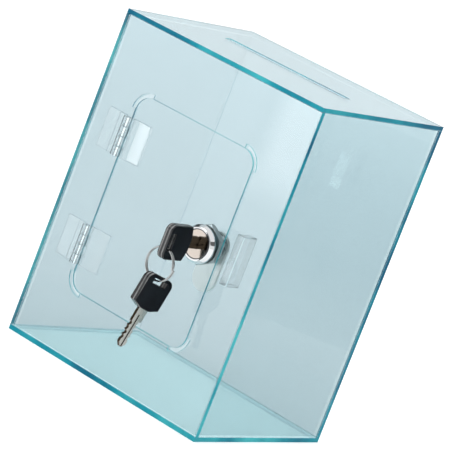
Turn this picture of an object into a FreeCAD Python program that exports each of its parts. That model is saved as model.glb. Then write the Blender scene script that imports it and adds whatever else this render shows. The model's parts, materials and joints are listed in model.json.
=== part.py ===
"""Clear acrylic donation box with a hinged, locking front door, as a parametric assembly.

Millimetres, +Z up, origin at the bottom centre of the box, front wall towards -Y.
"""
import FreeCAD, Part
import math
import os
import re

import Sketcher

# Driving sizes: name and millimetres (degrees where the name ends in _angle)
SIZES = {
    # acrylic box
    "box_width": 150.0,
    "box_depth": 120.0,
    "box_height": 200.0,
    "sheet": 2.8,
    "slot_length": 92.0,
    "slot_width": 6.0,
    # door cut out of the front wall
    "door_width": 90.0,
    "door_height": 120.0,
    "door_bottom": 40.0,
    "door_corner": 9.5,
    "kerf": 0.2,
    "relief_gap": 2.6,
    # clear butt hinges glued to the front
    "hinge_height": 24.0,
    "hinge_reach": 16.5,
    "hinge_pad": 9.0,
    "hinge_pad_thickness": 1.6,
    "hinge_thickness": 2.2,
    "hinge_stand_off": 3.1,
    "hinge_spacing": 66.8,
    "barrel_radius": 2.75,
    "knuckle_gap": 0.3,
    "knuckle_clearance": 0.45,
    "pin_radius": 1.0,
    "running_clearance": 0.05,
    # keeper block that the cam turns behind
    "keeper_inset": 5.3,
    "keeper_width": 5.0,
    "keeper_depth": 12.0,
    "keeper_height": 30.0,
    # cam lock
    "lock_inset": 14.5,
    "bezel_radius": 11.2,
    "bezel_lip_radius": 9.5,
    "bezel_proud": 3.2,
    "bezel_edge": 0.9,
    "rosette_radius": 8.3,
    "rosette_thickness": 1.5,
    "rosette_sink": 0.25,
    "thread_radius": 8.0,
    "thread_flats": 13.6,
    "barrel_length": 14.0,
    "plug_radius": 6.2,
    "wafer_channel": 5.5,
    "wafer_channel_height": 14.2,
    "nut_across_corners": 25.0,
    "nut_thickness": 4.0,
    "nut_face_margin": 0.3,
    "washer_radius": 7.6,
    "washer_thickness": 1.0,
    "cam_width": 16.5,
    "cam_reach": 27.5,
    "cam_thickness": 2.0,
    "cam_square": 8.0,
    "cam_clearance": 0.1,
    "screw_radius": 2.0,
    "screw_gap": 0.8,
    "screw_head_across": 8.0,
    "screw_head": 2.8,
    "screw_flange_radius": 6.0,
    "screw_flange": 0.9,
    # wafer tumblers
    "wafer_width": 5.0,
    "wafer_height": 10.4,
    "wafer_thickness": 0.9,
    "wafer_pitch": 2.3,
    "wafer_start": 2.4,
    "wafer_clearance": 0.1,
    # keys
    "head_length": 20.6,
    "head_width": 20.6,
    "head_thickness": 5.0,
    "head_nose": 8.0,
    "head_nose_drop": 2.4,
    "head_corner": 4.2,
    "head_edge": 0.9,
    "head_bridge": 2.0,
    "head_slot_width": 3.2,
    "head_slot_length": 10.6,
    "head_from_lock": 8.2,
    "tang_length": 7.0,
    "tang_height": 6.0,
    "blade_thickness": 2.0,
    "blade_length": 24.0,
    "blade_low": 2.7,
    "blade_high": 2.7,
    "shoulder_high": 4.4,
    "shoulder_length": 7.4,
    "blade_tip": 2.2,
    "blade_tip_half": 0.7,
    "cut_start": 9.6,
    "cut_pitch": 2.9,
    "cut_width": 2.3,
    "cut_floor": 0.9,
    "blade_groove": 1.1,
    "blade_groove_depth": 0.5,
    "keyway_clearance": 0.12,
    # split ring
    "ring_radius": 9.6,
    "ring_wire": 0.8,
    "ring_pitch": 1.25,
    "ring_play": 0.7,
    "spare_hang_offset": 3.0,
    "spare_turn_angle": 10.0,
    "spare_tilt_angle": 14.0,
}
WAFERS = 5
CUT_DEPTHS_HIGH = (0.6, 1.1, 0.5, 0.9)
CUT_DEPTHS_LOW = (1.0, 0.5, 1.1, 0.7)
KNUCKLES = 4
NUT_SIDES = 6
NUT_CHAMFER = math.radians(30)
RING_SIDES = 8      # the ring is wound from flattened wire
PASS = 5.0          # how far a cutting tool runs past the piece that it cuts
SKETCH_RADIUS = 10.0    # rough place of an outline's corners before its sizes bind them
NEAR = 1e-3

# Places that several pieces share, as formulas of the driving sizes
FRONT = "(-box_depth / 2)"
WALL_BACK = f"({FRONT} + sheet)"
DOOR_TOP = "(door_bottom + door_height)"
DOOR_MIDDLE = "(door_bottom + door_height / 2)"
HINGE_X = "(-door_width / 2)"
HINGE_Y = f"({FRONT} - hinge_stand_off)"
LOCK_X = "(door_width / 2 - lock_inset)"
LOCK_Z = DOOR_MIDDLE
BEZEL_FRONT = f"({FRONT} - bezel_proud)"
ROSETTE_FLOOR = f"({BEZEL_FRONT} + rosette_sink + rosette_thickness)"
BARREL_END = f"({FRONT} + barrel_length)"
WASHER_FRONT = f"({BARREL_END} + cam_clearance)"
CAM_FRONT = f"({WASHER_FRONT} + washer_thickness)"
CAM_BACK = f"({CAM_FRONT} + cam_thickness)"
HEAD_END = f"({BEZEL_FRONT} - head_from_lock)"
BLADE_END = f"({HEAD_END} + blade_length)"
SCREW_END = f"({BLADE_END} + screw_gap)"

WORD = re.compile(r"[a-z_]+")
Y_AXIS = FreeCAD.Vector(0, 1, 0)
Z_AXIS = FreeCAD.Vector(0, 0, 1)
TURNED = {
    "Y": FreeCAD.Rotation(Z_AXIS, Y_AXIS),
    "Z": FreeCAD.Rotation(),
}

doc = FreeCAD.newDocument("donation_box")
sheet = doc.addObject("Spreadsheet::Sheet", "sizes")
for row, (name, number) in enumerate(SIZES.items(), start=1):
    sheet.set(f"A{row}", name)
    sheet.set(f"B{row}", str(number))
    sheet.setAlias(f"B{row}", name)
doc.recompute()


def bind(item, prop, formula):
    """Bind a property to a formula of the driving sizes."""
    def cell(match):
        word = match.group(0)
        return f"sizes.{word}" if word in SIZES else word
    item.setExpression(prop, WORD.sub(cell, formula))


def place(item, x, y, z):
    for letter, formula in zip("xyz", (x, y, z)):
        bind(item, f"Placement.Base.{letter}", formula)


# Solids from primitives and booleans

def box(name, x, y, z, length, width, height):
    item = doc.addObject("Part::Box", name)
    for prop, formula in (("Length", length), ("Width", width), ("Height", height)):
        bind(item, prop, formula)
    place(item, x, y, z)
    return item


def rod(name, axis, x, y, z, radius, length, quarter=None):
    """A round bar along an axis, or a quarter of one turned by quarter steps of 90 degrees."""
    item = doc.addObject("Part::Cylinder", name)
    turn = TURNED[axis]
    if quarter is not None:
        item.Angle = 90
        turn = turn.multiply(FreeCAD.Rotation(Z_AXIS, 90 * quarter))
    item.Placement = FreeCAD.Placement(FreeCAD.Vector(), turn)
    bind(item, "Radius", radius)
    bind(item, "Height", length)
    place(item, x, y, z)
    return item


def hexagon(name, x, y, z, across_corners, length):
    """A hexagonal bar along Y with a corner up."""
    item = doc.addObject("Part::Prism", name)
    item.Polygon = NUT_SIDES
    corner_up = FreeCAD.Rotation(Z_AXIS, 90)
    item.Placement = FreeCAD.Placement(FreeCAD.Vector(), TURNED["Y"].multiply(corner_up))
    bind(item, "Circumradius", f"({across_corners}) / 2")
    bind(item, "Height", length)
    place(item, x, y, z)
    return item


def cone(name, x, y, z, start_radius, end_radius, length):
    """A cone along Y, from its start radius to its end radius."""
    item = doc.addObject("Part::Cone", name)
    item.Placement = FreeCAD.Placement(FreeCAD.Vector(), TURNED["Y"])
    for prop, formula in (("Radius1", start_radius), ("Radius2", end_radius), ("Height", length)):
        bind(item, prop, formula)
    place(item, x, y, z)
    return item


def fuse(name, *pieces):
    item = doc.addObject("Part::MultiFuse", name)
    item.Shapes = list(pieces)
    item.Refine = True
    return item


def common(name, *pieces):
    item = doc.addObject("Part::MultiCommon", name)
    item.Shapes = list(pieces)
    return item


def cut(name, base, *tools):
    item = doc.addObject("Part::Cut", name)
    item.Base = base
    item.Tool = tools[0] if len(tools) == 1 else fuse(f"{name}_tools", *tools)
    item.Refine = True
    return item


# Solids from sketches and features

def new_body(name):
    return doc.addObject("PartDesign::Body", name)


def sketch_on(body, name, role, offset=None):
    sketch = body.newObject("Sketcher::SketchObject", name)
    plane = next(item for item in body.Origin.OriginFeatures if item.Role == role)
    sketch.AttachmentSupport = [(plane, "")]
    sketch.MapMode = "FlatFace"
    if offset:
        bind(sketch, "AttachmentOffset.Base.z", offset)
    return sketch


def outline(sketch, points):
    """A closed outline whose corners lie at pairs of formulas."""
    first = sketch.GeometryCount
    count = len(points)
    corners = []
    for step in range(count):
        angle = 2 * math.pi * step / count
        corners.append(FreeCAD.Vector(math.cos(angle), math.sin(angle), 0) * SKETCH_RADIUS)
    for step in range(count):
        sketch.addGeometry(Part.LineSegment(corners[step], corners[(step + 1) % count]))
    for step in range(count):
        line, following = first + step, first + (step + 1) % count
        sketch.addConstraint(Sketcher.Constraint("Coincident", line, 2, following, 1))
    for step, pair in enumerate(points):
        for kind, formula in zip(("DistanceX", "DistanceY"), pair):
            datum = Sketcher.Constraint(kind, -1, 1, first + step, 1, 1.0 + step)
            number = sketch.addConstraint(datum)
            bind(sketch, f"Constraints[{number}]", formula)


def rectangle(sketch, x_low, x_high, y_low, y_high):
    outline(sketch, [(x_low, y_low), (x_high, y_low), (x_high, y_high), (x_low, y_high)])


def pad(body, name, sketch, length, midplane=False):
    item = body.newObject("PartDesign::Pad", name)
    item.Profile = sketch
    item.Midplane = midplane
    bind(item, "Length", length)
    return item


def pocket(body, name, sketch, length, reverse=False, midplane=False):
    """A pocket that has to take material away."""
    doc.recompute()
    before = body.Shape.Volume
    item = body.newObject("PartDesign::Pocket", name)
    item.Profile = sketch
    item.Reversed = reverse
    item.Midplane = midplane
    bind(item, "Length", length)
    doc.recompute()
    if not body.Shape.Volume < before:
        raise ValueError(f"{name} cuts nothing")
    return item


def fillet(body, name, base, radius, wanted):
    """Round the edges of a feature that the wanted test picks out."""
    doc.recompute()
    edges = [f"Edge{number}" for number, edge in enumerate(base.Shape.Edges, start=1) if wanted(edge)]
    item = body.newObject("PartDesign::Fillet", name)
    item.Base = (base, edges)
    bind(item, "Radius", radius)
    doc.recompute()
    return item


def size(name):
    return float(sheet.get(name))


# The box

def make_box_panels():
    wall_height = "box_height - 2 * sheet"
    left, right = "-box_width / 2", "box_width / 2 - sheet"
    bottom = box("bottom_panel", left, FRONT, "0", "box_width", "box_depth", "sheet")
    lid = box("lid_blank", left, FRONT, "box_height - sheet", "box_width", "box_depth", "sheet")
    slot = box("slot_tool", "-slot_length / 2", "-slot_width / 2", f"box_height - sheet - {PASS}",
               "slot_length", "slot_width", f"sheet + 2 * {PASS}")
    top = cut("top_panel", lid, slot)
    back = box("back_panel", left, "box_depth / 2 - sheet", "sheet", "box_width", "sheet", wall_height)
    sides = []
    for name, x in (("left_panel", left), ("right_panel", right)):
        sides.append(box(name, x, WALL_BACK, "sheet", "sheet", "box_depth - 2 * sheet", wall_height))
    blank = box("front_blank", left, FRONT, "sheet", "box_width", "sheet", wall_height)
    opening = rounded_plate("opening_tool", "kerf", "door_corner + relief_gap", f"{FRONT} - {PASS}",
                            f"sheet + 2 * {PASS}")
    front = cut("front_panel", blank, opening)
    return [bottom, top, back, front] + sides


def rounded_plate(name, margin, arc, y, thickness):
    """The door's outline, grown by a margin along its straight sides, with corner arcs of their own radius.

    The arcs keep the centres of the door's corners, so a larger arc leaves a relief gap round each corner.
    """
    wide = box(f"{name}_wide", f"-door_width / 2 - {margin}", y, "door_bottom + door_corner",
               f"door_width + 2 * {margin}", thickness, "door_height - 2 * door_corner")
    tall = box(f"{name}_tall", "-door_width / 2 + door_corner", y, f"door_bottom - {margin}",
               "door_width - 2 * door_corner", thickness, f"door_height + 2 * {margin}")
    corners = []
    for quarter, (x_sign, z_low) in enumerate(((1, True), (-1, True), (-1, False), (1, False))):
        x = f"{x_sign} * (door_width / 2 - door_corner)"
        z = "door_bottom + door_corner" if z_low else f"{DOOR_TOP} - door_corner"
        corners.append(rod(f"{name}_corner_{quarter}", "Y", x, y, z, arc, thickness, quarter))
    return fuse(name, wide, tall, *corners)


def make_keeper():
    return box("keeper_block", "door_width / 2 + keeper_inset", WALL_BACK, f"{LOCK_Z} - keeper_height / 2",
               "keeper_width", "keeper_depth", "keeper_height")


# The door

def make_door():
    plate = rounded_plate("door_blank", "0", "door_corner", FRONT, "sheet")
    hole_round = rod("lock_hole_round", "Y", LOCK_X, f"{FRONT} - {PASS}", LOCK_Z,
                     "thread_radius + running_clearance", f"sheet + 2 * {PASS}")
    hole_flats = box("lock_hole_flats", f"{LOCK_X} - thread_flats / 2 - running_clearance",
                     f"{FRONT} - {PASS}", f"{LOCK_Z} - thread_radius - {PASS}",
                     "thread_flats + 2 * running_clearance", f"sheet + 2 * {PASS}",
                     f"2 * thread_radius + 2 * {PASS}")
    return cut("door_panel", plate, common("lock_hole", hole_round, hole_flats))


def make_hinge(name, middle):
    """Two glued leaves whose knuckles alternate along one pin."""
    bottom = f"({middle} - hinge_height / 2)"
    knuckle = f"(hinge_height / {KNUCKLES})"
    clear = "(barrel_radius + knuckle_clearance)"
    leaves = []
    for side, first, sign in (("frame", 0, -1), ("door", 1, 1)):
        node = f"{name}_hinge_{side}_leaf"
        inner = "(hinge_reach - hinge_pad)"
        if sign > 0:
            pad_x, plate_x = f"{HINGE_X} + {inner}", f"{HINGE_X} + {clear}"
        else:
            pad_x, plate_x = f"{HINGE_X} - hinge_reach", f"{HINGE_X} - {inner}"
        pieces = [
            box(f"{node}_pad", pad_x, f"{FRONT} - hinge_pad_thickness", bottom,
                "hinge_pad", "hinge_pad_thickness", "hinge_height"),
            box(f"{node}_plate", plate_x, f"{FRONT} - hinge_thickness", bottom,
                f"{inner} - {clear}", "hinge_thickness", "hinge_height"),
        ]
        for number in range(first, KNUCKLES, 2):
            z = f"{bottom} + {number} * {knuckle} + knuckle_gap / 2"
            tall = f"{knuckle} - knuckle_gap"
            web_x = HINGE_X if sign > 0 else f"{HINGE_X} - {clear}"
            pieces.append(box(f"{node}_web_{number}", web_x, f"{FRONT} - hinge_thickness", z,
                              clear, "hinge_thickness - knuckle_clearance", tall))
            pieces.append(rod(f"{node}_barrel_{number}", "Z", HINGE_X, HINGE_Y, z, "barrel_radius", tall))
        bore = rod(f"{node}_bore", "Z", HINGE_X, HINGE_Y, f"{bottom} - {PASS}",
                   "pin_radius + running_clearance", f"hinge_height + 2 * {PASS}")
        leaves.append(cut(node, fuse(f"{node}_solid", *pieces), bore))
    pin = rod(f"{name}_hinge_pin", "Z", HINGE_X, HINGE_Y, f"{bottom} + knuckle_gap / 2", "pin_radius",
              "hinge_height - knuckle_gap")
    return leaves + [pin]


# The cam lock

def make_lock_body():
    """A turned bezel and threaded barrel, flattened on two sides, with a bore and two wafer channels."""
    body = new_body("lock_body")
    profile = sketch_on(body, "lock_profile", "XY_Plane")
    bore = "plug_radius + running_clearance"
    seat = "rosette_radius + running_clearance"
    outline(profile, [
        (bore, ROSETTE_FLOOR), (seat, ROSETTE_FLOOR), (seat, BEZEL_FRONT), ("bezel_lip_radius", BEZEL_FRONT),
        ("bezel_radius", f"{FRONT} - bezel_edge"), ("bezel_radius", FRONT), ("thread_radius", FRONT),
        ("thread_radius", BARREL_END), (bore, BARREL_END),
    ])
    turned = body.newObject("PartDesign::Revolution", "lock_turned")
    turned.Profile = profile
    turned.ReferenceAxis = (profile, ["V_Axis"])
    turned.Angle = 360
    flats = sketch_on(body, "lock_flats_outline", "XZ_Plane", f"-{FRONT}")
    past = f"(thread_radius + {PASS})"
    for near, far in (("thread_flats / 2", past), (f"-{past}", "-thread_flats / 2")):
        rectangle(flats, near, far, f"-{past}", past)
    pocket(body, "lock_flats", flats, f"barrel_length + {PASS}")
    channel = sketch_on(body, "lock_channel_outline", "XZ_Plane", f"-{ROSETTE_FLOOR}")
    rectangle(channel, "-wafer_channel / 2", "wafer_channel / 2",
              "-wafer_channel_height / 2", "wafer_channel_height / 2")
    pocket(body, "lock_channel", channel, f"barrel_length + bezel_proud + {PASS}")
    place(body, LOCK_X, "0", LOCK_Z)
    return body


def make_lock_nut():
    """A hexagon nut whose corners are turned off at both faces."""
    bar = hexagon("lock_nut_bar", LOCK_X, WALL_BACK, LOCK_Z, "nut_across_corners", "nut_thickness")
    face = f"nut_across_corners / 2 * {math.cos(math.pi / NUT_SIDES)} + nut_face_margin"
    wide = f"{face} + nut_thickness / {math.tan(NUT_CHAMFER)}"
    cones = []
    for side, start, end in (("front", face, wide), ("back", wide, face)):
        cones.append(cone(f"lock_nut_{side}_chamfer", LOCK_X, WALL_BACK, LOCK_Z, start, end, "nut_thickness"))
    blank = common("lock_nut_blank", bar, *cones)
    hole = rod("lock_nut_hole", "Y", LOCK_X, f"{WALL_BACK} - {PASS}", LOCK_Z,
               "thread_radius + running_clearance", f"nut_thickness + 2 * {PASS}")
    return cut("lock_nut", blank, hole)


def make_lock_plug():
    """The turning core: rosette, plug with keyway and wafer slots, and the square that drives the cam."""
    face = f"{BEZEL_FRONT} + rosette_sink"
    shaft_start = f"({ROSETTE_FLOOR} - running_clearance)"
    rosette = rod("plug_rosette", "Y", LOCK_X, face, LOCK_Z, "rosette_radius",
                  "rosette_thickness - running_clearance")
    shaft = rod("plug_shaft", "Y", LOCK_X, shaft_start, LOCK_Z, "plug_radius",
                f"{BARREL_END} - {shaft_start}")
    square = box("plug_square", f"{LOCK_X} - cam_square / 2", BARREL_END, f"{LOCK_Z} - cam_square / 2",
                 "cam_square", f"{CAM_BACK} - cam_clearance - {BARREL_END}", "cam_square")
    solid = fuse("plug_solid", rosette, shaft, square)
    keyway = box("plug_keyway", f"{LOCK_X} - blade_thickness / 2 - keyway_clearance", f"{face} - {PASS}",
                 f"{LOCK_Z} - blade_low - keyway_clearance", "blade_thickness + 2 * keyway_clearance",
                 f"{BLADE_END} + keyway_clearance - {face} + {PASS}",
                 "blade_low + blade_high + 2 * keyway_clearance")
    tapped = rod("plug_tapped_hole", "Y", LOCK_X, f"{SCREW_END} - cam_clearance", LOCK_Z,
                 "screw_radius + running_clearance", f"{CAM_BACK} - {SCREW_END} + {PASS}")
    slots = []
    for number in range(WAFERS):
        slots.append(box(f"plug_wafer_slot_{number}", f"{LOCK_X} - wafer_width / 2 - wafer_clearance",
                         f"{ROSETTE_FLOOR} + wafer_start + {number} * wafer_pitch - wafer_clearance",
                         f"{LOCK_Z} - plug_radius - {PASS}", "wafer_width + 2 * wafer_clearance",
                         "wafer_thickness + 2 * wafer_clearance", f"2 * plug_radius + 2 * {PASS}"))
    return cut("lock_plug", solid, keyway, tapped, *slots)


def make_wafers():
    """Flat tumblers, each with a window that the key's blade passes through."""
    plates = []
    for number in range(WAFERS):
        y = f"{ROSETTE_FLOOR} + wafer_start + {number} * wafer_pitch"
        plate = box(f"wafer_{number}_blank", f"{LOCK_X} - wafer_width / 2", y, f"{LOCK_Z} - wafer_height / 2",
                    "wafer_width", "wafer_thickness", "wafer_height")
        window = box(f"wafer_{number}_window", f"{LOCK_X} - blade_thickness / 2 - keyway_clearance",
                     f"{y} - {PASS}", f"{LOCK_Z} - blade_low - keyway_clearance",
                     "blade_thickness + 2 * keyway_clearance", f"wafer_thickness + 2 * {PASS}",
                     "blade_low + blade_high + 2 * keyway_clearance")
        plates.append(cut(f"wafer_{number}", plate, window))
    group = doc.addObject("Part::Compound", "wafer_tumblers")
    group.Links = plates
    return group


def square_hole(name, y, length):
    wide = "cam_square + 2 * cam_clearance"
    return box(name, f"{LOCK_X} - cam_square / 2 - cam_clearance", f"{y} - {PASS}",
               f"{LOCK_Z} - cam_square / 2 - cam_clearance", wide, f"{length} + 2 * {PASS}", wide)


def make_washer():
    disc = rod("cam_washer_disc", "Y", LOCK_X, WASHER_FRONT, LOCK_Z, "washer_radius", "washer_thickness")
    return cut("cam_washer", disc, square_hole("cam_washer_hole", WASHER_FRONT, "washer_thickness"))


def make_cam():
    """A flat steel cam with round ends, hanging down: the unlocked position."""
    hub = rod("cam_hub", "Y", LOCK_X, CAM_FRONT, LOCK_Z, "cam_width / 2", "cam_thickness")
    tip_z = f"({LOCK_Z} - cam_reach + cam_width / 2)"
    arm = box("cam_arm", f"{LOCK_X} - cam_width / 2", CAM_FRONT, tip_z, "cam_width", "cam_thickness",
              f"{LOCK_Z} - {tip_z}")
    tip = rod("cam_tip", "Y", LOCK_X, CAM_FRONT, tip_z, "cam_width / 2", "cam_thickness")
    return cut("cam", fuse("cam_solid", hub, arm, tip), square_hole("cam_hole", CAM_FRONT, "cam_thickness"))


def make_cam_screw():
    head = hexagon("cam_screw_head", LOCK_X, CAM_BACK, LOCK_Z, "screw_head_across", "screw_head")
    flange = rod("cam_screw_flange", "Y", LOCK_X, CAM_BACK, LOCK_Z, "screw_flange_radius", "screw_flange")
    shank = rod("cam_screw_shank", "Y", LOCK_X, SCREW_END, LOCK_Z, "screw_radius",
                f"{CAM_BACK} + screw_flange - {SCREW_END}")
    return fuse("cam_screw", head, flange, shank)


# The keys, each drawn with its blade along +Y from the end of its head

def along_x(edge):
    ends = edge.BoundBox
    return ends.XLength > NEAR and ends.YLength < NEAR and ends.ZLength < NEAR


def make_key_head(name):
    body = new_body(name)
    half, nose = "head_width / 2", "head_nose / 2"
    shape = sketch_on(body, f"{name}_outline", "YZ_Plane")
    outline(shape, [
        ("0", f"-{nose}"), ("0", nose), ("-head_nose_drop", half), ("-head_length", half),
        ("-head_length", f"-{half}"), ("-head_nose_drop", f"-{half}"),
    ])
    block = pad(body, f"{name}_block", shape, "head_thickness", midplane=True)
    far_end = -size("head_length")
    rounded = fillet(body, f"{name}_corners", block, "head_corner",
                     lambda edge: along_x(edge) and abs(edge.CenterOfMass.y - far_end) < NEAR)
    face = size("head_thickness") / 2
    fillet(body, f"{name}_edges", rounded, "head_edge",
           lambda edge: abs(abs(edge.CenterOfMass.x) - face) < NEAR)
    slot = sketch_on(body, f"{name}_slot_outline", "YZ_Plane")
    rectangle(slot, "-head_length + head_bridge", "-head_length + head_bridge + head_slot_width",
              "-head_slot_length / 2", "head_slot_length / 2")
    pocket(body, f"{name}_slot", slot, f"head_thickness + 2 * {PASS}", midplane=True)
    tang = sketch_on(body, f"{name}_tang_outline", "XZ_Plane")
    rectangle(tang, "-blade_thickness / 2", "blade_thickness / 2", "-tang_height / 2", "tang_height / 2")
    pocket(body, f"{name}_tang", tang, "tang_length", reverse=True)
    return body


def bitting(edge, sign, depths):
    """The notches along one edge of the blade, from the head towards the tip."""
    points = []
    for number, depth in enumerate(depths):
        middle = f"(cut_start + {number} * cut_pitch)"
        floor = f"{sign} * ({edge} - {depth})"
        points.append((f"{middle} - cut_width / 2", f"{sign} * {edge}"))
        points.append((f"{middle} - cut_floor / 2", floor))
        points.append((f"{middle} + cut_floor / 2", floor))
        points.append((f"{middle} + cut_width / 2", f"{sign} * {edge}"))
    return points


def make_key_blade(name):
    """A double-sided blade with a shoulder, a groove down each side and a tang in the head."""
    body = new_body(name)
    shape = sketch_on(body, f"{name}_outline", "YZ_Plane")
    low = bitting("blade_low", -1, CUT_DEPTHS_LOW)
    high = bitting("blade_high", 1, CUT_DEPTHS_HIGH)
    outline(shape, [
        ("-tang_length", "-tang_height / 2"), ("0", "-tang_height / 2"), ("0", "-blade_low"),
        *low, ("blade_length - blade_tip", "-blade_low"), ("blade_length", "-blade_tip_half"),
        ("blade_length", "blade_tip_half"), ("blade_length - blade_tip", "blade_high"), *reversed(high),
        ("shoulder_length", "blade_high"), ("shoulder_length", "shoulder_high"), ("0", "shoulder_high"),
        ("0", "tang_height / 2"), ("-tang_length", "tang_height / 2"),
    ])
    pad(body, f"{name}_plate", shape, "blade_thickness", midplane=True)
    for side, sign in (("right", 1), ("left", -1)):
        groove = sketch_on(body, f"{name}_{side}_groove_outline", "YZ_Plane", f"{sign} * blade_thickness / 2")
        rectangle(groove, "shoulder_length / 2", f"blade_length + {PASS}",
                  "-blade_groove / 2", "blade_groove / 2")
        pocket(body, f"{name}_{side}_groove", groove, "blade_groove_depth", reverse=sign < 0)
    return body


def make_key():
    blade, head = make_key_blade("key_blade"), make_key_head("key_head")
    for body in (blade, head):
        place(body, LOCK_X, HEAD_END, LOCK_Z)
    return [blade, head]


# The ring hangs in the lower end of the first key's slot, and the spare key hangs on the ring

def ring_centre():
    slot_end = size("door_bottom") + size("door_height") / 2 - size("head_slot_length") / 2
    wire_top = slot_end + ring_seat()
    y = -size("box_depth") / 2 - size("bezel_proud") - size("head_from_lock") - size("head_length")
    y += size("head_bridge") + size("head_slot_width") / 2 + size("ring_pitch") / 4
    x = size("door_width") / 2 - size("lock_inset")
    return FreeCAD.Vector(x, y, wire_top - size("ring_radius"))


def ring_seat():
    """From the edge of a slot to the middle of the wire, with the ring's own curve through the head."""
    radius = size("ring_radius")
    sag = radius - math.sqrt(radius ** 2 - (size("head_thickness") / 2) ** 2)
    return size("ring_wire") / 2 + sag + size("ring_play")


def make_ring():
    """A split ring: two turns of flat-sided wire, each half turn an arc in a leaning plane."""
    radius, pitch = size("ring_radius"), size("ring_pitch")
    wire_radius = size("ring_wire") / 2
    leaning_radius = math.hypot(radius, pitch / 4)
    halves = []
    for half in range(4):
        sign = 1 if half % 2 == 0 else -1
        start = -pitch + half * pitch / 2
        points = ((sign * radius, start, 0), (0, start + pitch / 4, sign * leaning_radius),
                  (-sign * radius, start + pitch / 2, 0))
        halves.append(Part.Arc(*[FreeCAD.Vector(*point) for point in points]).toShape())
    path = Part.Wire(halves)
    start = FreeCAD.Vector(radius, -pitch, 0)
    half_side = math.pi / RING_SIDES
    corners = []
    for step in range(RING_SIDES + 1):
        angle = (2 * step + 1) * half_side
        corner = FreeCAD.Vector(math.cos(angle), math.sin(angle), 0)
        corners.append(start + corner * wire_radius / math.cos(half_side))
    section = Part.makePolygon(corners)
    item = doc.addObject("Part::Feature", "key_ring")
    item.Shape = path.makePipeShell([Part.Wire(section)], True, False)
    item.Placement = FreeCAD.Placement(ring_centre(), FreeCAD.Rotation())
    expected = RING_SIDES * math.tan(half_side) * wire_radius ** 2 * path.Length
    print("ring volume over section times length:", round(item.Shape.Volume / expected, 4))
    print("least gap between the ring's turns:", round(pitch - 2 * wire_radius, 3))
    return item


def make_spare_key():
    """The spare key hangs near one end of its slot, so its blade leans to the front."""
    blade, head = make_key_blade("spare_key_blade"), make_key_head("spare_key_head")
    turn = math.radians(size("spare_turn_angle"))
    tilt = math.radians(size("spare_tilt_angle"))
    normal = FreeCAD.Vector(math.cos(turn), -math.sin(turn), 0)
    across = FreeCAD.Vector(math.sin(turn), math.cos(turn), 0)
    down = Z_AXIS * -math.cos(tilt) - across * math.sin(tilt)
    leaning = FreeCAD.Rotation(normal, down, normal.cross(down), "XYZ")
    seat = -size("head_length") + size("head_bridge") + ring_seat()
    hung_at = FreeCAD.Vector(0, seat, -size("spare_hang_offset"))
    wire = ring_centre() + FreeCAD.Vector(0, size("ring_pitch") / 4, -size("ring_radius"))
    for body in (blade, head):
        body.Placement = FreeCAD.Placement(wire - leaning.multVec(hung_at), leaning)
    return [blade, head]


nodes = make_box_panels() + [make_keeper(), make_door()]
for hinge, sign in (("upper", 1), ("lower", -1)):
    nodes += make_hinge(hinge, f"({DOOR_MIDDLE} + {sign} * hinge_spacing / 2)")
nodes += [make_lock_body(), make_lock_nut(), make_lock_plug(), make_wafers(), make_washer(), make_cam(),
          make_cam_screw()]
nodes += make_key() + [make_ring()] + make_spare_key()
doc.recompute()

for item in doc.Objects:
    if "Invalid" in item.State or "Error" in item.State:
        raise ValueError(f"{item.Name} failed: {item.State}")
for node in nodes:
    node.Label = node.Name
    if node.Shape.isNull() or not node.Shape.isValid() or not node.Shape.Solids:
        raise ValueError(f"{node.Name} has no valid solid")

os.makedirs("parts", exist_ok=True)
for node in nodes:
    node.Shape.exportStep(f"parts/{node.Label}.step")
    print(f"{node.Label}: {len(node.Shape.Solids)} solid(s), {node.Shape.Volume:.1f} mm3")
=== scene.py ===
# %% [markdown]
# This lesson dresses a clear donation box with a cam lock. The box is glued up from six acrylic sheets. A
# door is cut out of its front sheet and hangs on two clear hinges, and a chromed cam lock with a key and a
# spare key closes it. The construction comes from the imported model, so the lesson never moves or resizes a
# imported piece: it gives the pieces their finishes, softens their edges and adds one thin dark ring,
# painted shade in the gap round the lock's plug.

# %% Load the imported model
import json
import math

import bmesh
import bpy
from mathutils import Matrix, Vector

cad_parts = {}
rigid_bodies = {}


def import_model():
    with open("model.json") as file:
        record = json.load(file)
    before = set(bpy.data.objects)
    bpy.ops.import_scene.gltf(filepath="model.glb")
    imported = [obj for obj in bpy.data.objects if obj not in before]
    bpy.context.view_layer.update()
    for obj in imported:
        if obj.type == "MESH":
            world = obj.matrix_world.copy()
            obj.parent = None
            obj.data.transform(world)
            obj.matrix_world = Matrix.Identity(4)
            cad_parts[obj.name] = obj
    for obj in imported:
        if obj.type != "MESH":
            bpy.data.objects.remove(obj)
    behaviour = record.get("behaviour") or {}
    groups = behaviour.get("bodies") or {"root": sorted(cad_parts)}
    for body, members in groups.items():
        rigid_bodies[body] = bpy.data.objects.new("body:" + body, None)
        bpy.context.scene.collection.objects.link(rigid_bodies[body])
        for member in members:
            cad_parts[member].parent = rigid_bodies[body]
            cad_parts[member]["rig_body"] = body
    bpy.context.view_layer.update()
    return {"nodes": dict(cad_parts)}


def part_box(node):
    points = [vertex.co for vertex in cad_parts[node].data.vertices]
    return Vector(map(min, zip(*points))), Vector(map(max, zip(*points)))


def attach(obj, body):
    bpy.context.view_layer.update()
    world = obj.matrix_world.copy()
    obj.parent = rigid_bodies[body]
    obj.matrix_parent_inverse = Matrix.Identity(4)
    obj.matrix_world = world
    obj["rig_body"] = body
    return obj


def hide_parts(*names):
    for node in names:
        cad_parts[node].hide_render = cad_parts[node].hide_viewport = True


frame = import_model()
MM = 0.001
nodes = frame["nodes"]

# %% [markdown]
# The photograph was taken from the right, a little above the lid, with a long lens: the box's edges hardly
# run together. The whole picture is also turned, so the camera rolls about its own line of sight. Three
# angles could be typed in for this, but a track rotation that points the camera at the middle of the box,
# with the roll added after it, keeps the meaning of each value. A line of sight may cross many clear faces
# when the door stands open, so the renderer may follow it through more of them than it usually does.

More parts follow.
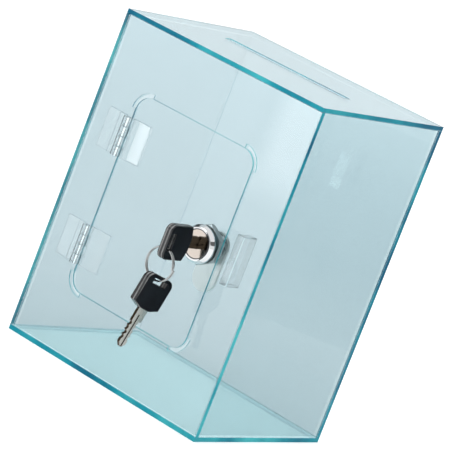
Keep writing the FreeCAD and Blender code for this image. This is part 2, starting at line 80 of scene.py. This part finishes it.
# %% Place the camera
AZIMUTH = math.radians(35.2)
ELEVATION = math.radians(11.26)
ROLL = math.radians(21.2)
DISTANCE = 1.7445
LOOK_AT = Vector((-0.0006, 0.0001, 0.1019))
LENS = 242.4
CLIP_NEAR = 0.05
CLIP_FAR = 200
CLEAR_FACES = 32

camera = bpy.data.objects.new("camera", bpy.data.cameras.new("camera"))
bpy.context.scene.collection.objects.link(camera)
away = Vector((
    math.sin(AZIMUTH) * math.cos(ELEVATION),
    -math.cos(AZIMUTH) * math.cos(ELEVATION),
    math.sin(ELEVATION),
))
camera.data.lens = LENS
camera.data.clip_start = CLIP_NEAR
camera.data.clip_end = CLIP_FAR
facing = (-away).to_track_quat("-Z", "Y").to_matrix() @ Matrix.Rotation(ROLL, 3, "Z")
camera.matrix_world = Matrix.LocRotScale(LOOK_AT + away * DISTANCE, facing, None)
bpy.context.scene.camera = camera
bpy.context.scene.view_settings.view_transform = "Standard"
bpy.context.scene.cycles.transparent_max_bounces = CLEAR_FACES
print("camera at", [round(value, 3) for value in camera.location])

# %% [markdown]
# A finish is mostly arithmetic on masks. It could be wired up node by node, but a long list of nodes hides
# the sum. This small class wraps one socket, so that `1 - edge * shade` adds the Math nodes by itself. Its
# method `add` makes any other node: first the node's settings, then the values or links of its sockets.

# %% Wrap a socket
def set_stops(ramp, stops):
    """Gives a colour ramp these (place, colour) stops."""
    while len(ramp.elements) < len(stops):
        ramp.elements.new(1.0)
    for element, (place, colour) in zip(ramp.elements, stops):
        element.position = place
        element.color = colour


class Wire:
    """One output socket of a node tree. Arithmetic on wires adds Math nodes to that tree."""

    def __init__(self, tree, socket=None):
        self.tree = tree
        self.socket = socket

    def add(self, kind, settings=(), sockets=(), out=0):
        made = self.tree.nodes.new("ShaderNode" + kind)
        for name, value in dict(settings).items():
            if name == "stops":
                set_stops(made.color_ramp, value)
            else:
                setattr(made, name, value)
        for name, value in dict(sockets).items():
            if isinstance(value, Wire):
                self.tree.links.new(value.socket, made.inputs[name])
            else:
                made.inputs[name].default_value = value
        return Wire(self.tree, made.outputs[out] if made.outputs else None)

    def math(self, operation, first, second=0.0):
        return self.add("Math", {"operation": operation}, {0: first, 1: second})

    def part(self, axis):
        """One part of a vector, by its letter or its number."""
        return self.add("SeparateXYZ", {}, {"Vector": self}, out=axis)

    def largest(self, *others):
        """The largest of this value and others."""
        most = self
        for other in others:
            most = self.math("MAXIMUM", most, other)
        return most

    def __add__(self, other):
        return self.math("ADD", self, other)

    def __radd__(self, other):
        return self.math("ADD", other, self)

    def __sub__(self, other):
        return self.math("SUBTRACT", self, other)

    def __rsub__(self, other):
        return self.math("SUBTRACT", other, self)

    def __mul__(self, other):
        return self.math("MULTIPLY", self, other)

    def __rmul__(self, other):
        return self.math("MULTIPLY", other, self)

    def __truediv__(self, other):
        return self.math("DIVIDE", self, other)

    def __gt__(self, other):
        return self.math("GREATER_THAN", self, other)

    def __lt__(self, other):
        return self.math("LESS_THAN", self, other)

    def __abs__(self):
        return self.math("ABSOLUTE", self)


print("operators ready on", Wire.__name__)

# %% [markdown]
# Clear sheet and chrome look like whatever stands round them. The camera sees plain white here, and so do
# metal and glass. Only the light that falls on dull surfaces comes from a quiet studio: white near the
# floor, a darker band of wall above it and a broad soft box overhead. Lamps could make that light, but a
# ramp over the height of the sky gives softer shadows and has less to set.

# %% Build the world
WALL_LEVEL = 0.15
CEILING_LEVEL = 1.6
WHITE_TO = 0.61
BAND_FROM = 0.65
BAND_TO = 0.76
CEILING_FROM = 0.82


def grey(level):
    return (level, level, level, 1.0)


def plain_rays(start):
    """A mask of the rays that see the plain background: the camera's, and those of metal and glass."""
    camera_ray, mirrored, passed = [
        start.add("LightPath", out=f"Is {kind} Ray") for kind in ("Camera", "Glossy", "Transmission")
    ]
    return camera_ray.largest(mirrored, passed)


world = bpy.data.worlds.new("studio")
bpy.context.scene.world = world
world.use_nodes = True
world.node_tree.nodes.clear()
sky = Wire(world.node_tree)
height = sky.add("TexCoord", out="Generated").part("Z")
walls = [
    (0.0, grey(1.0)), (WHITE_TO, grey(1.0)),
    (BAND_FROM, grey(WALL_LEVEL)), (BAND_TO, grey(WALL_LEVEL)),
    (CEILING_FROM, grey(CEILING_LEVEL)), (1.0, grey(CEILING_LEVEL)),
]
level = sky.add("ValToRGB", {"stops": walls}, {"Fac": (height + 1) / 2})
shown = sky.add("Mix", {"data_type": "RGBA"}, {0: plain_rays(sky), 6: level, 7: grey(1.0)}, out=2)
sky.add("OutputWorld", {}, {"Surface": sky.add("Background", {}, {"Color": shown})})
print("world: wall", WALL_LEVEL, "ceiling", CEILING_LEVEL)

# %% [markdown]
# The box stands on white paper, which keeps a soft shadow. Paper beside a white world looks a little grey,
# so a faint glow lifts it where the camera, metal or glass looks at it. More light could do that too, but
# it would wash out the box. Each finish in this lesson is a function that returns its shader, and `finish`
# makes a material of it.

# %% Lay the paper
PAPER_LEVEL = 0.9
FLOOR_LIFT = 0.17
FLOOR_SIZE = 16.0
FLOOR_DROP = 0.2 * MM


def finish(name, surface):
    """Makes the material whose shader the function surface returns."""
    made = bpy.data.materials.new(name)
    made.use_nodes = True
    made.node_tree.nodes.clear()
    start = Wire(made.node_tree)
    start.add("OutputMaterial", {}, {"Surface": surface(start)})
    print("finish:", name)
    return made


def floor_surface(start):
    """White paper: lit by the studio, and lifted to white where the camera or a mirror looks at it."""
    paper = start.add("BsdfDiffuse", {}, {"Color": grey(PAPER_LEVEL)})
    lift = start.add("Emission", {}, {"Color": plain_rays(start) * FLOOR_LIFT})
    return start.add("AddShader", {}, {0: paper, 1: lift})


def piece_from(shape, name, material):
    """Turns a finished bmesh into an object at the origin."""
    mesh = bpy.data.meshes.new(name)
    shape.to_mesh(mesh)
    shape.free()
    made = bpy.data.objects.new(name, mesh)
    made.data.materials.append(material)
    bpy.context.scene.collection.objects.link(made)
    return made


spread = bmesh.new()
bmesh.ops.create_grid(spread, x_segments=1, y_segments=1, size=FLOOR_SIZE / 2)
bmesh.ops.translate(spread, verts=spread.verts, vec=(0, 0, -FLOOR_DROP))
floor = piece_from(spread, "floor", finish("white_paper", floor_surface))
print("paper", FLOOR_SIZE, "m wide")

# %% [markdown]
# One lamp at the left gives the shadow its side. A small lamp could do that too, but it would draw a hard
# shadow, so this one is a soft box nearly a metre wide.

# %% Hang the lamp
LAMP_WATTS = 7.0
LAMP_SIZE = 0.9
LAMP_PLACE = Vector((-0.75, -1.0, 1.35))

lamp = bpy.data.objects.new("soft_box", bpy.data.lights.new("soft_box", "AREA"))
lamp.data.energy = LAMP_WATTS
lamp.data.size = LAMP_SIZE
lamp.location = LAMP_PLACE
lamp.rotation_mode = "QUATERNION"
lamp.rotation_quaternion = (LOOK_AT - LAMP_PLACE).to_track_quat("-Z", "Y")
bpy.context.scene.collection.objects.link(lamp)
print("lamp of", LAMP_WATTS, "W")

# %% [markdown]
# A photographer stands dark and white cards just outside the picture, so that polished things have
# something to mirror. Lamps could take the place of the white ones, but they would also light the paper.
# The cards here are seen only in reflections: they cast no shadow and hide nothing. A soft card fades to
# the level of the paper towards its border, as the edge of a soft box does.

# %% Stand the cards
FIRM = 0.001
FRONT_TURN = 0.0
SIDE_TURN = -AZIMUTH


def mirrors_only(made):
    """Hides a part of the studio from everything but reflections."""
    for ray in ("camera", "diffuse", "transmission", "shadow", "volume_scatter"):
        setattr(made, "visible_" + ray, False)


def card(name, middle, width, tall, turn, level, soft=0.0):
    """An upright card that only mirrors see. soft is the share of it that fades out at its border."""
    def surface(start):
        place = start.add("TexCoord", out="Object")
        offset = start.add("VectorMath", {"operation": "SUBTRACT"}, {0: place, 1: middle})
        squared = start.add("VectorRotate", {"rotation_type": "Z_AXIS"}, {"Vector": offset, "Angle": -turn})
        aside = abs(squared.part("X")) / (width / 2)
        above = abs(squared.part("Z")) / (tall / 2)
        inwards = (1 - aside.largest(above)) / max(soft, FIRM)
        shown = start.math("MINIMUM", inwards, 1.0) * (level - PAPER_LEVEL) + PAPER_LEVEL
        return start.add("Emission", {}, {"Color": shown})

    shape = bmesh.new()
    bmesh.ops.create_grid(shape, x_segments=1, y_segments=1, size=0.5)
    bmesh.ops.scale(shape, verts=shape.verts, vec=(width, tall, 1))
    upright = Matrix.Rotation(turn, 4, "Z") @ Matrix.Rotation(math.pi / 2, 4, "X")
    bmesh.ops.transform(shape, verts=shape.verts, matrix=Matrix.Translation(middle) @ upright)
    mirrors_only(piece_from(shape, name, finish(name, surface)))
    print("card", name, "at", [round(value, 2) for value in middle])


card("white_card", middle=Vector((-0.100, -0.302, 0.130)), width=0.060, tall=0.110, turn=FRONT_TURN,
     level=4.2, soft=0.6)
card("hinge_card", middle=Vector((-0.2172, -0.303, 0.0778)), width=0.0094, tall=0.027, turn=FRONT_TURN,
     level=5.0)
card("side_card", middle=Vector((0.25, 0.24, 0.077)), width=0.44, tall=0.15, turn=SIDE_TURN,
     level=0.25, soft=0.7)

# %% [markdown]
# Chrome in a white room has no outline. A dark band of wall all round, above the white that the lid
# mirrors, draws the lines in the polished lock. It can't come from the world, which shows metal plain
# white, so it is an open cylinder that only reflections see.

# %% Stand the dark wall
WALL_RADIUS = 3.0
WALL_LOW = 0.9
WALL_HIGH = 2.2
WALL_SIDES = 64

wall = bmesh.new()
bmesh.ops.create_cone(wall, cap_ends=False, segments=WALL_SIDES, radius1=WALL_RADIUS, radius2=WALL_RADIUS,
                      depth=WALL_HIGH - WALL_LOW)
bmesh.ops.translate(wall, verts=wall.verts, vec=(0, 0, (WALL_LOW + WALL_HIGH) / 2))
wall_paint = finish("dark_wall", lambda start: start.add("Emission", {}, {"Color": grey(WALL_LEVEL)}))
mirrors_only(piece_from(wall, "dark_wall", wall_paint))
print("wall from", WALL_LOW, "to", WALL_HIGH, "m")

# %% [markdown]
# The sheets are tinted cast acrylic. That could be made with real refraction, but refraction needs many
# bounces and gives a noisy picture. Here a clear face is a tinted see-through shader with a Fresnel gloss
# on its outside. Lamp light passes with a paler tint, so that the shadow on the paper stays soft.

# %% Make the clear shaders
SHADOW_TINT = (0.98, 1.0, 1.0, 1.0)
ACRYLIC_IOR = 1.49
box_low, box_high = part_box("bottom_panel")[0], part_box("top_panel")[1]


def gloss_over(start, under):
    """Lays a mirror gloss over the outside of a shader, stronger at a grazing angle."""
    fresnel = start.add("Fresnel", {}, {"IOR": ACRYLIC_IOR})
    outside = 1 - start.add("NewGeometry", out="Backfacing")
    mirror = start.add("BsdfGlossy", {}, {"Roughness": 0.0})
    return start.add("MixShader", {}, {0: fresnel * outside, 1: under, 2: mirror})


def see_through(start, tint, painted_low_shade=1.0):
    """A tinted clear shader, darker towards the floor by painted shade if asked, that lets lamp light
    through paler.
    """
    upper = start.add("BsdfTransparent", {}, {"Color": tint})
    # Painted shade: near the floor the tint is made darker, though the sheet itself is the same there.
    lower = start.add("BsdfTransparent", {}, {"Color": [share * painted_low_shade for share in tint[:3]] + [1.0]})
    risen = start.add("TexCoord", out="Object").part("Z") / box_high.z
    looked = start.add("MixShader", {}, {0: 1 - risen, 1: upper, 2: lower})
    lit = start.add("BsdfTransparent", {}, {"Color": SHADOW_TINT})
    shadow = start.add("LightPath", out="Is Shadow Ray")
    bounced = start.add("LightPath", out="Is Diffuse Ray")
    return start.add("MixShader", {}, {0: shadow.largest(bounced), 1: looked, 2: lit})


print("box from", [round(value, 3) for value in box_low], "to", [round(value, 3) for value in box_high])

# %% [markdown]
# Light that runs along inside a sheet comes out at its cut edges, so these look like strips of deep teal.
# The edge faces could get a second material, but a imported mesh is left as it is. So a mask from the place
# of a point tells which edges lie on the outside of the box, and a noise drifts the strip between deep and
# pale stretches.

# %% Find and colour the cut edges
EDGE_DEEP = (0.004, 0.12, 0.21, 1.0)
EDGE_TEAL = (0.008, 0.27, 0.35, 1.0)
EDGE_PALE = (0.06, 0.48, 0.52, 1.0)
EDGE_STOPS = [(0.34, EDGE_DEEP), (0.48, EDGE_TEAL), (0.66, EDGE_PALE)]
EDGE_GRAIN = 22.0
RIM = 0.1 * MM
X, Y, Z = range(3)
box_middle = (box_low + box_high) / 2
box_half = (box_high - box_low) / 2


def below_surface(place, axis):
    """How far a point lies inside the whole box along an axis."""
    return box_half[axis] - abs(place.part(axis) - box_middle[axis])


def on_rim(place):
    """A mask of the outside of the whole box, where the cut edges glow."""
    across, along, up = [below_surface(place, axis) < RIM for axis in (X, Y, Z)]
    return across.largest(along, up)


def cut_edge(start, place):
    """The coloured strip of a cut edge: deep and pale stretches of teal."""
    drift = start.add("TexNoise", {}, {"Vector": place, "Scale": EDGE_GRAIN, "Detail": 4.0})
    teal = start.add("ValToRGB", {"stops": EDGE_STOPS}, {"Fac": drift})
    return start.add("BsdfPrincipled", {}, {
        "Base Color": teal, "Roughness": 0.3, "Specular IOR Level": 0.1,
    })


print("edges glow within", RIM / MM, "mm of the outside")

# %% [markdown]
# A sheet is clear on its two faces and coloured on its edges, and a mask from the surface's own normal
# tells these apart. The coloured strip is faint from inside the sheet, where the real one mirrors the room.
# Where sheets are glued, the seam is nearly as clear as the sheet itself. Each sheet could have a tree of
# its own, but they differ only in their tint and in how much of each edge shows, so one function serves.

# %% Make a sheet's finish
SEAM_TINT = (0.93, 0.965, 0.975, 1.0)
# How much darker the clear faces of the walls are made at the floor: painted shade.
PAINTED_LOW_SHADE = 0.92
DEEP_GLOW = 0.3
TURNED = 0.5
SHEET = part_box("back_panel")[1].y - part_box("back_panel")[0].y


def sheet_finish(name, axis, tint, inside=0.08, glow_depth=3.0, line=0.0, line_depth=1.3, end=0,
                 far_line=0.0, seam_tint=SEAM_TINT, rim_tint=SEAM_TINT):
    """Acrylic sheet whose thickness runs along an axis, 0 to 2 for X to Z.

    inside is how much of a glowing edge shows from within the sheet, and line how much shows of the outer
    part of a cut that isn't on the rim of the box. A side wall has such a line only at one glued end, its
    front end if end is -1 and its back end if end is 1. far_line is how much shows of the same outer part
    of a rim that is seen through the sheet. An edge that isn't drawn lets rim_tint through on the rim of
    the box and seam_tint elsewhere. Depths are in millimetres from the outer face.
    """
    def surface(start):
        place = start.add("TexCoord", out="Object")
        normal = start.add("TexCoord", out="Normal")
        edge = abs(normal.part(axis)) < TURNED
        rim = on_rim(place)
        depth = below_surface(place, axis)
        within = start.add("NewGeometry", out="Backfacing")
        fade = DEEP_GLOW + (depth < glow_depth * MM) * (1 - DEEP_GLOW)
        outer = depth < line_depth * MM
        glow = rim * fade * (1 - within * (1 - inside - outer * far_line))
        cut = (1 - rim) * outer * line
        seam = edge
        if end:
            here = (abs(normal.part(Y)) > TURNED) * (place.part(Y) * end > 0)
            cut = cut * here
            seam = edge * (1 - here)
        if axis == Y:
            glued = (place.part(X) - box_low.x < SHEET) * (depth > SHEET / 2)
            seam = seam.largest(glued)
        clear = gloss_over(start, see_through(start, tint, 1.0 if axis == Z else PAINTED_LOW_SHADE))
        open_cut = start.add("MixShader", {}, {
            0: rim,
            1: start.add("BsdfTransparent", {}, {"Color": seam_tint}),
            2: start.add("BsdfTransparent", {}, {"Color": rim_tint}),
        })
        bare = start.add("MixShader", {}, {0: seam, 1: clear, 2: open_cut})
        return start.add("MixShader", {}, {0: edge * (glow + cut), 1: bare, 2: cut_edge(start, place)})

    return finish(name, surface)


print("sheets are", round(SHEET / MM, 2), "mm thick")

# %% [markdown]
# In the photograph each wall has a depth of its own, though all six are one acrylic. The light on each wall
# and what shows through it make the difference, so each gets its own tint with painted shade in it. The back
# and left walls are the deepest of the four and the front is the palest. One tint for all would be simpler,
# but the box would look flat. The door is cut from the front sheet and has its tint.

# %% Dress the sheets
# Each tint below is the acrylic's own colour with painted shade: the same sheet, lit and shaded differently
# on each wall.
FRONT_TINT_AND_SHADE = (0.92, 0.948, 0.957, 1.0)
BACK_TINT_AND_SHADE = (0.758, 0.831, 0.854, 1.0)
RIGHT_TINT_AND_SHADE = (0.839, 0.899, 0.914, 1.0)
TOP_TINT_AND_SHADE = (0.887, 0.955, 0.974, 1.0)
BOTTOM_TINT_AND_SHADE = (0.771, 0.908, 0.929, 1.0)
CORNER_TINT = (0.912, 0.94, 0.949, 1.0)
LID_TINT = (0.51, 0.66, 0.71, 1.0)
FOOT_TINT = (0.66, 0.86, 0.89, 1.0)


def dress(name, material):
    """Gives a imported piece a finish."""
    nodes[name].data.materials.clear()
    nodes[name].data.materials.append(material)


dress("front_panel", sheet_finish("acrylic_front", Y, FRONT_TINT_AND_SHADE, inside=1.0, line=0.7, line_depth=0.7))
dress("door_panel", sheet_finish("acrylic_door", Y, FRONT_TINT_AND_SHADE, line=0.75, line_depth=1.2))
dress("back_panel", sheet_finish("acrylic_back", Y, BACK_TINT_AND_SHADE, seam_tint=CORNER_TINT))
dress("left_panel", sheet_finish("acrylic_left", X, BACK_TINT_AND_SHADE, line=0.95, line_depth=1.1, end=-1,
                                 seam_tint=CORNER_TINT))
dress("right_panel", sheet_finish("acrylic_right", X, RIGHT_TINT_AND_SHADE, line=0.9, line_depth=0.9, end=1))
dress("top_panel", sheet_finish("acrylic_top", Z, TOP_TINT_AND_SHADE, glow_depth=2.4, line=0.6, line_depth=0.6,
                                far_line=0.4, rim_tint=LID_TINT))
dress("bottom_panel", sheet_finish("acrylic_bottom", Z, BOTTOM_TINT_AND_SHADE, inside=0.16, rim_tint=FOOT_TINT))

# %% [markdown]
# The hinges are moulded from a slightly milky clear plastic, and the keeper is a sawn clear block. Their
# knuckles and rounds bend light as a glass rod does: one bright line where they face the eye and dark ones
# where they turn away. Refraction could draw these lines too, but Layer Weight finds them without noise.

# %% Make the moulded plastic
HINGE_TINT = (0.97, 0.983, 0.987, 1.0)
HINGE_MILK = (0.86, 0.90, 0.92, 1.0)
ROUND_FROM = 0.985
ROUND_GLINT = (0.84, 0.95, 0.98, 1.0)
ROUND_SHADE = (0.16, 0.22, 0.24, 1.0)
KEEPER_SIDE_SHADE = (0.10, 0.17, 0.18, 1.0)


def moulded_finish(name, haze, rounds, glint_to, shade_from, cut=0.0):
    """Clear plastic with see-through faces, and rounds that draw a bright and a dark line.

    The bright line runs where a round faces the eye up to glint_to, and the dark line where it turns away
    past shade_from. cut is how much painted shade darkens the faces of a block that don't look along X; its
    polished faces look along X.
    """
    def surface(start):
        normal = start.add("TexCoord", out="Normal")
        across, along, up = [abs(normal.part(axis)) for axis in (X, Y, Z)]
        rounded = across.largest(along, up) < ROUND_FROM
        milk = start.add("BsdfDiffuse", {}, {"Color": HINGE_MILK})
        body = start.add("MixShader", {}, {0: haze, 1: see_through(start, HINGE_TINT), 2: milk})
        if cut:
            # Painted shade: the faces that don't look along X get a dark diffuse colour, for the dark that
            # they mirror.
            side_shade_paint = start.add("BsdfDiffuse", {}, {"Color": KEEPER_SIDE_SHADE})
            body = start.add("MixShader", {}, {0: (across < TURNED) * cut, 1: body, 2: side_shade_paint})
        glint = start.add("BsdfGlossy", {}, {"Color": ROUND_GLINT, "Roughness": 0.08})
        shade = start.add("BsdfTransparent", {}, {"Color": ROUND_SHADE})
        away_from_eye = start.add("LayerWeight", out="Facing")
        dark = away_from_eye > shade_from
        line = start.add("MixShader", {}, {0: dark, 1: glint, 2: shade})
        drawn = rounded * dark.largest(away_from_eye < glint_to) * rounds
        return start.add("MixShader", {}, {0: drawn, 1: gloss_over(start, body), 2: line})

    return finish(name, surface)


hinge_clear = moulded_finish("hinge_clear", haze=0.08, rounds=0.8, glint_to=0.03, shade_from=0.45)
keeper_clear = moulded_finish("keeper_clear", haze=0.2, rounds=0.95, glint_to=0.35, shade_from=0.35,
                              cut=0.12)

# %% [markdown]
# The lock is chromed, its nut and cam are zinc-plated steel, the wafers are brass and the keys nickel. Each
# could have a shader tree of its own, but metals differ mostly by their colour and by how fine their polish
# is, so one function makes them all. A noise drawn out along one direction gives the rolled grain.

# %% Make the metals
METAL_GRAIN = 400.0
GRAIN_HEIGHT = 0.02 * MM
POLISH_FROM = 0.7
POLISH_SPAN = 0.6
EVEN = (1, 1, 1)
ROLLED = (1, 0.1, 1)


def metal_finish(name, colour, roughness, stretch=EVEN, depth=0.0):
    """A metal whose polish wanders a little along a drawn-out grain."""
    def surface(start):
        place = start.add("TexCoord", out="Object")
        drawn = start.add("Mapping", {}, {"Vector": place, "Scale": stretch})
        streak = start.add("TexNoise", {}, {"Vector": drawn, "Scale": METAL_GRAIN, "Detail": 4.0})
        lumps = start.add("Bump", {}, {"Height": streak, "Strength": depth, "Distance": GRAIN_HEIGHT})
        polish = roughness * (POLISH_FROM + streak * POLISH_SPAN)
        return start.add("BsdfPrincipled", {}, {
            "Base Color": colour, "Metallic": 1.0, "Roughness": polish, "Normal": lumps,
        })

    return finish(name, surface)


chrome = metal_finish("lock_chrome", (0.70, 0.71, 0.72, 1.0), roughness=0.06)
# Near-black metal for the ring in the gap round the plug: painted shade.
gap_shade_metal = metal_finish("painted_gap_shade", (0.10, 0.10, 0.11, 1.0), roughness=0.14)
plug_chrome = metal_finish("plug_chrome", (0.54, 0.48, 0.43, 1.0), roughness=0.10)
plated = metal_finish("plated_steel", (0.40, 0.45, 0.46, 1.0), roughness=0.36, depth=0.2)
cam_zinc = metal_finish("cam_zinc", (0.70, 0.75, 0.74, 1.0), roughness=0.36, depth=0.2)
brass = metal_finish("wafer_brass", (0.72, 0.52, 0.22, 1.0), roughness=0.28)
nickel = metal_finish("key_nickel", (0.37, 0.375, 0.35, 1.0), roughness=0.18, stretch=ROLLED, depth=0.2)
# Nickel darkened nearly to black: painted shade, for the blade held in shadow between the head and the lock
# and for the spare blade's narrow cut sides.
painted_shade_nickel = metal_finish("painted_shade_nickel", (0.045, 0.036, 0.024, 1.0), roughness=0.2, stretch=ROLLED,
                           depth=0.2)
ring_steel = metal_finish("ring_steel", (0.36, 0.37, 0.37, 1.0), roughness=0.12)
dress("wafer_tumblers", brass)

# %% [markdown]
# The heads of the keys are moulded in satin black plastic with a fine grain. Their narrow sides are rubbed
# smoother, and two pale lines run along them: painted highlights, where the rounded sides catch the light.
# The lines could be modelled as ridges, but here they are painted. They follow the middle plane of a head,
# so a ramp across its thickness draws them.

# %% Make the black plastic
BLACK_DEEP = (0.002, 0.0035, 0.006, 1.0)
BLACK_WORN = (0.006, 0.009, 0.013, 1.0)
WEAR_STOPS = [(0.35, BLACK_DEEP), (0.75, BLACK_WORN)]
PAINTED_HIGHLIGHT_LINES = [(0.2, grey(0.02)), (0.38, grey(0.34)), (0.5, grey(0.34)), (0.68, grey(0.02))]
SPARK_GRAIN = 2600.0
SPARK_HEIGHT = 0.03 * MM
SPARK_STRENGTH = 0.25
WEAR_GRAIN = 90.0
RUB_GRAIN = 220.0
SATIN_FROM = 0.32
SATIN_SPAN = 0.12
RUBBED_FROM = 0.18
RUBBED_SPAN = 0.1
head_low, head_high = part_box("key_head")
head_middle = (head_low.x + head_high.x) / 2
head_half = (head_high.x - head_low.x) / 2


def black_surface(start):
    """Satin black moulded plastic with a fine spark-eroded grain."""
    place = start.add("TexCoord", out="Object")
    grain = start.add("TexNoise", {}, {"Vector": place, "Scale": SPARK_GRAIN, "Detail": 2.0})
    wear = start.add("TexNoise", {}, {"Vector": place, "Scale": WEAR_GRAIN, "Detail": 3.0})
    colour = start.add("ValToRGB", {"stops": WEAR_STOPS}, {"Fac": wear})
    satin = SATIN_FROM + wear * SATIN_SPAN
    lumps = start.add("Bump", {}, {"Height": grain, "Strength": SPARK_STRENGTH, "Distance": SPARK_HEIGHT})
    return start.add("BsdfPrincipled", {}, {
        "Base Color": colour, "Roughness": satin, "Specular IOR Level": 0.08, "Normal": lumps,
    })


def painted_highlight_surface(start):
    """The same plastic on the narrow sides, with two pale lines of painted highlight along it."""
    place = start.add("TexCoord", out="Object")
    wear = start.add("TexNoise", {}, {"Vector": place, "Scale": RUB_GRAIN, "Detail": 3.0})
    aside = abs(place.part("X") - head_middle) / head_half
    # Painted highlight: the ramp lays two pale lines along the middle of each narrow side.
    line = start.add("ValToRGB", {"stops": PAINTED_HIGHLIGHT_LINES}, {"Fac": aside})
    colour = start.add("Mix", {"data_type": "RGBA"}, {0: wear, 6: BLACK_WORN, 7: line}, out=2)
    polish = RUBBED_FROM + wear * RUBBED_SPAN
    return start.add("BsdfPrincipled", {}, {"Base Color": colour, "Roughness": polish})


black = finish("key_black", black_surface)
painted_highlight_black = finish("painted_highlight_black", painted_highlight_surface)

# %% [markdown]
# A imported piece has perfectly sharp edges, and no real one has: the small round along an edge is what
# catches the light. A Bevel modifier can't round them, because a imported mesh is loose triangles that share
# no edges. So each small piece is copied, its triangles are merged and its flat faces joined, and a narrow
# bevel runs along the sharp edges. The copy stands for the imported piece.

# %% Soften a copy of a piece
MERGE = 1e-6
FLAT = math.radians(1.0)
SHARP = math.radians(35.0)
BROAD = 0.9
FLAT_AREA = 40 * MM ** 2
FACE_WEIGHT = 100


def softened(node, width, material, segments=2, sides=None):
    """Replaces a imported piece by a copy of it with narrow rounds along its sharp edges.

    sides is the finish of a flat piece's narrow sides, where it isn't the finish of its two broad faces.
    """
    shape = bmesh.new()
    shape.from_mesh(nodes[node].data)
    bmesh.ops.remove_doubles(shape, verts=shape.verts, dist=MERGE)
    bmesh.ops.dissolve_limit(shape, angle_limit=FLAT, verts=shape.verts, edges=shape.edges)
    sharp = [edge for edge in shape.edges if edge.is_manifold and edge.calc_face_angle() > SHARP]
    bmesh.ops.bevel(shape, geom=sharp, offset=width, offset_type="OFFSET", segments=segments,
                    profile=0.5, affect="EDGES", clamp_overlap=False, material=-1)
    broad = max(shape.faces, key=lambda face: face.calc_area()).normal.copy()
    for face in shape.faces:
        face.smooth = face.calc_area() < FLAT_AREA
        face.material_index = 1 if sides and abs(face.normal.dot(broad)) < BROAD else 0
    for edge in shape.edges:
        edge.smooth = not edge.is_manifold or edge.calc_face_angle() < SHARP
    made = piece_from(shape, node + "_soft", material)
    if sides:
        made.data.materials.append(sides)
    even = made.modifiers.new("even_shading", "WEIGHTED_NORMAL")
    even.keep_sharp = True
    even.weight = FACE_WEIGHT
    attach(made, nodes[node]["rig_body"])
    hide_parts(node)
    print(node, "softened by", round(width / MM, 2), "mm,", len(made.data.polygons), "faces")


print("edges over", round(math.degrees(SHARP)), "degrees get a round")

# %% [markdown]
# How round an edge is depends on how the piece was made: a moulded head or hinge has rounder edges than a
# stamped cam or the blade of a key. One width for all would be shorter to write, but it would look wrong on
# one or the other. The polished bezel of the lock shows its round best, so that one has more segments.

# %% Soften the small pieces
for place in ("upper", "lower"):
    softened(f"{place}_hinge_frame_leaf", 0.25 * MM, hinge_clear)
    softened(f"{place}_hinge_door_leaf", 0.25 * MM, hinge_clear)
    softened(f"{place}_hinge_pin", 0.2 * MM, hinge_clear)
softened("keeper_block", 0.35 * MM, keeper_clear)
for node in ("lock_nut", "cam_washer", "cam_screw"):
    softened(node, 0.15 * MM, plated)
softened("cam", 0.15 * MM, cam_zinc)
softened("lock_plug", 0.12 * MM, plug_chrome)
softened("lock_body", 0.35 * MM, chrome, segments=4)
softened("key_blade", 0.1 * MM, painted_shade_nickel)
softened("spare_key_blade", 0.1 * MM, nickel, sides=painted_shade_nickel)
for node in ("key_head", "spare_key_head"):
    softened(node, 0.3 * MM, black, segments=3, sides=painted_highlight_black)
softened("key_ring", 0.08 * MM, ring_steel)

# %% [markdown]
# Between the turning plug and the bezel of the lock lies a shaded gap, and a narrow ring of near-black metal
# stands in it: painted shade. Its round mirrors both the bright floor and the dark wall, so it draws the
# fine double ring on the lock's face. A curve with a round bevel could make it too, but a small circle spun
# once about the lock's axis is a mesh from the start.

# %% Turn the bead
BEAD_RADIUS = 8.4 * MM
BEAD_WIRE = 0.38 * MM
BEAD_SIDES = 10
BEAD_STEPS = 72
plug_low, plug_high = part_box("lock_plug")
bead_middle = Vector(((plug_low.x + plug_high.x) / 2, plug_low.y, (plug_low.z + plug_high.z) / 2))

profile = bmesh.new()
bmesh.ops.create_circle(profile, segments=BEAD_SIDES, radius=BEAD_WIRE)
bmesh.ops.translate(profile, verts=profile.verts, vec=bead_middle + Vector((BEAD_RADIUS, 0, 0)))
bmesh.ops.spin(profile, geom=profile.verts[:] + profile.edges[:], cent=bead_middle,
               axis=(0, 1, 0), angle=2 * math.pi, steps=BEAD_STEPS, use_merge=True)
bmesh.ops.remove_doubles(profile, verts=profile.verts, dist=MERGE)
bmesh.ops.recalc_face_normals(profile, faces=profile.faces)
for face in profile.faces:
    face.smooth = True
# The ring is near-black: painted shade in the gap between plug and bezel.
bead = piece_from(profile, "lock_gap_shade", gap_shade_metal)
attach(bead, nodes["lock_body"]["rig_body"])
print("bead of", len(bead.data.polygons), "faces round the plug")
